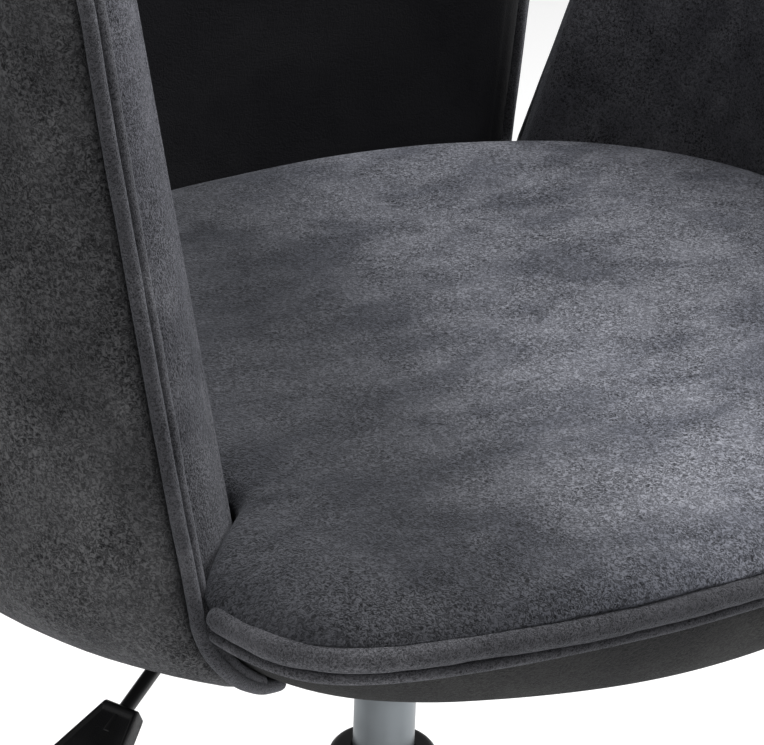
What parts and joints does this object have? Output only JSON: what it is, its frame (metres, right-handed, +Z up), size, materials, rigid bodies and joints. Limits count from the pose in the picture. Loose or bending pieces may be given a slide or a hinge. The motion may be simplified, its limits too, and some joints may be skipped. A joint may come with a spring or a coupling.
{
  "type": "upholstered swivel armchair",
  "caption": "Height-adjustable swivel armchair: padded seat between three petal-shaped upholstered panels, on a gas lift with hand lever and a star base on twin-wheel casters.",
  "frame": {"origin": "where the swivel axis meets the floor", "axes": "+Z up along the swivel axis; the sitter faces -Y, and +X is on the sitter's left"},
  "size_m": [0.5554, 0.5836, 0.9018],
  "materials": {
    "seat_fabric": "brushed suede-look microfibre, cloudy nap, fine leather-like grain",
    "inner_fabric": "brushed suede-look microfibre",
    "outer_fabric": "brushed suede-look microfibre",
    "piping_fabric": "piping in the same microfibre",
    "dust_cloth": "black non-woven",
    "plywood": "bare plywood",
    "black_nylon": "fine moulded texture",
    "black_steel": "satin black powder coat",
    "chromed_steel": "bright",
    "zinc_steel": "zinc plated"
  },
  "bodies": {
    "base": {"star_base": "black_nylon", "lift_outer_tube": "black_steel", "lift_guide_bush": "black_nylon"},
    "lift_rod_body": {"lift_rod": "zinc_steel", "lift_piston": "zinc_steel", "lift_thrust_bearing": "zinc_steel", "lift_retaining_clip": "black_steel", "lift_bump_stop": "black_nylon"},
    "seat_body": {"lift_cylinder": "chromed_steel", "lift_end_seal": "black_nylon", "seat_plate": "black_steel", "seat_plate_bolts": "zinc_steel", "tee_nuts": "zinc_steel", "lever_pivot_pin": "zinc_steel", "seat_board": "plywood", "seat_cushion": "seat_fabric", "seat_lower_cover": "outer_fabric", "dust_cover": "dust_cloth", "seat_welt": "piping_fabric", "back_pad": "inner_fabric", "back_panel": "plywood", "back_cover": "outer_fabric", "back_piping": "piping_fabric", "back_bracket": "black_steel", "right_arm_pad": "inner_fabric", "right_arm_panel": "plywood", "right_arm_cover": "outer_fabric", "right_arm_piping": "piping_fabric", "right_arm_bracket": "black_steel", "left_arm_pad": "inner_fabric", "left_arm_panel": "plywood", "left_arm_cover": "outer_fabric", "left_arm_piping": "piping_fabric", "left_arm_bracket": "black_steel", "bracket_screws": "zinc_steel"},
    "lever": {"lever_rod": "black_steel", "lever_handle": "black_nylon"},
    "valve_pin": {"lift_valve_pin": "zinc_steel"},
    "caster_1": {"caster_1_housing": "black_nylon", "caster_1_pins": "zinc_steel"},
    "caster_1_left_wheel": {"caster_1_left_wheel": "black_nylon"},
    "caster_1_right_wheel": {"caster_1_right_wheel": "black_nylon"},
    "caster_2": {"caster_2_housing": "black_nylon", "caster_2_pins": "zinc_steel"},
    "caster_2_left_wheel": {"caster_2_left_wheel": "black_nylon"},
    "caster_2_right_wheel": {"caster_2_right_wheel": "black_nylon"},
    "caster_3": {"caster_3_housing": "black_nylon", "caster_3_pins": "zinc_steel"},
    "caster_3_left_wheel": {"caster_3_left_wheel": "black_nylon"},
    "caster_3_right_wheel": {"caster_3_right_wheel": "black_nylon"},
    "caster_4": {"caster_4_housing": "black_nylon", "caster_4_pins": "zinc_steel"},
    "caster_4_left_wheel": {"caster_4_left_wheel": "black_nylon"},
    "caster_4_right_wheel": {"caster_4_right_wheel": "black_nylon"},
    "caster_5": {"caster_5_housing": "black_nylon", "caster_5_pins": "zinc_steel"},
    "caster_5_left_wheel": {"caster_5_left_wheel": "black_nylon"},
    "caster_5_right_wheel": {"caster_5_right_wheel": "black_nylon"}
  },
  "joints": [
    {"name": "seat_swivel", "type": "hinge", "parent": "base", "child": "lift_rod_body", "pos_m": [0, 0, 0.2], "axis": [0, 0, 1], "continuous": true},
    {"name": "seat_height", "type": "slide", "parent": "lift_rod_body", "child": "seat_body", "axis": [0, 0, 1], "range_m": [-0.055, 0.045]},
    {"name": "height_lever", "type": "hinge", "parent": "seat_body", "child": "lever", "pos_m": [-0.03195, -0.01163, 0.4117], "axis": [-0.342, 0.9397, 0], "range_deg": [0, 8], "stiffness_Nm_per_rad": 4, "springref_deg": -3.44},
    {"name": "valve_press", "type": "slide", "parent": "seat_body", "child": "valve_pin", "axis": [0, 0, -1], "range_m": [0, 0.005]},
    {"name": "caster_1_swivel", "type": "hinge", "parent": "base", "child": "caster_1", "pos_m": [0, 0.262, 0.07], "axis": [0, 0, 1], "continuous": true},
    {"name": "caster_1_left_wheel_spin", "type": "hinge", "parent": "caster_1", "child": "caster_1_left_wheel", "pos_m": [0, 0.283, 0.0275], "axis": [1, 0, 0], "continuous": true},
    {"name": "caster_1_right_wheel_spin", "type": "hinge", "parent": "caster_1", "child": "caster_1_right_wheel", "pos_m": [0, 0.283, 0.0275], "axis": [1, 0, 0], "continuous": true},
    {"name": "caster_2_swivel", "type": "hinge", "parent": "base", "child": "caster_2", "pos_m": [-0.24918, 0.08096, 0.07], "axis": [0, 0, 1], "continuous": true},
    {"name": "caster_2_left_wheel_spin", "type": "hinge", "parent": "caster_2", "child": "caster_2_left_wheel", "pos_m": [-0.24918, 0.10196, 0.0275], "axis": [1, 0, 0], "continuous": true},
    {"name": "caster_2_right_wheel_spin", "type": "hinge", "parent": "caster_2", "child": "caster_2_right_wheel", "pos_m": [-0.24918, 0.10196, 0.0275], "axis": [1, 0, 0], "continuous": true},
    {"name": "caster_3_swivel", "type": "hinge", "parent": "base", "child": "caster_3", "pos_m": [-0.154, -0.21196, 0.07], "axis": [0, 0, 1], "continuous": true},
    {"name": "caster_3_left_wheel_spin", "type": "hinge", "parent": "caster_3", "child": "caster_3_left_wheel", "pos_m": [-0.154, -0.19096, 0.0275], "axis": [1, 0, 0], "continuous": true},
    {"name": "caster_3_right_wheel_spin", "type": "hinge", "parent": "caster_3", "child": "caster_3_right_wheel", "pos_m": [-0.154, -0.19096, 0.0275], "axis": [1, 0, 0], "continuous": true},
    {"name": "caster_4_swivel", "type": "hinge", "parent": "base", "child": "caster_4", "pos_m": [0.154, -0.21196, 0.07], "axis": [0, 0, 1], "continuous": true},
    {"name": "caster_4_left_wheel_spin", "type": "hinge", "parent": "caster_4", "child": "caster_4_left_wheel", "pos_m": [0.154, -0.19096, 0.0275], "axis": [1, 0, 0], "continuous": true},
    {"name": "caster_4_right_wheel_spin", "type": "hinge", "parent": "caster_4", "child": "caster_4_right_wheel", "pos_m": [0.154, -0.19096, 0.0275], "axis": [1, 0, 0], "continuous": true},
    {"name": "caster_5_swivel", "type": "hinge", "parent": "base", "child": "caster_5", "pos_m": [0.24918, 0.08096, 0.07], "axis": [0, 0, 1], "continuous": true},
    {"name": "caster_5_left_wheel_spin", "type": "hinge", "parent": "caster_5", "child": "caster_5_left_wheel", "pos_m": [0.24918, 0.10196, 0.0275], "axis": [1, 0, 0], "continuous": true},
    {"name": "caster_5_right_wheel_spin", "type": "hinge", "parent": "caster_5", "child": "caster_5_right_wheel", "pos_m": [0.24918, 0.10196, 0.0275], "axis": [1, 0, 0], "continuous": true}
  ],
  "couplings": [
    {"joint": "valve_press", "follows": "height_lever", "m_per_rad": 0.034}
  ]
}
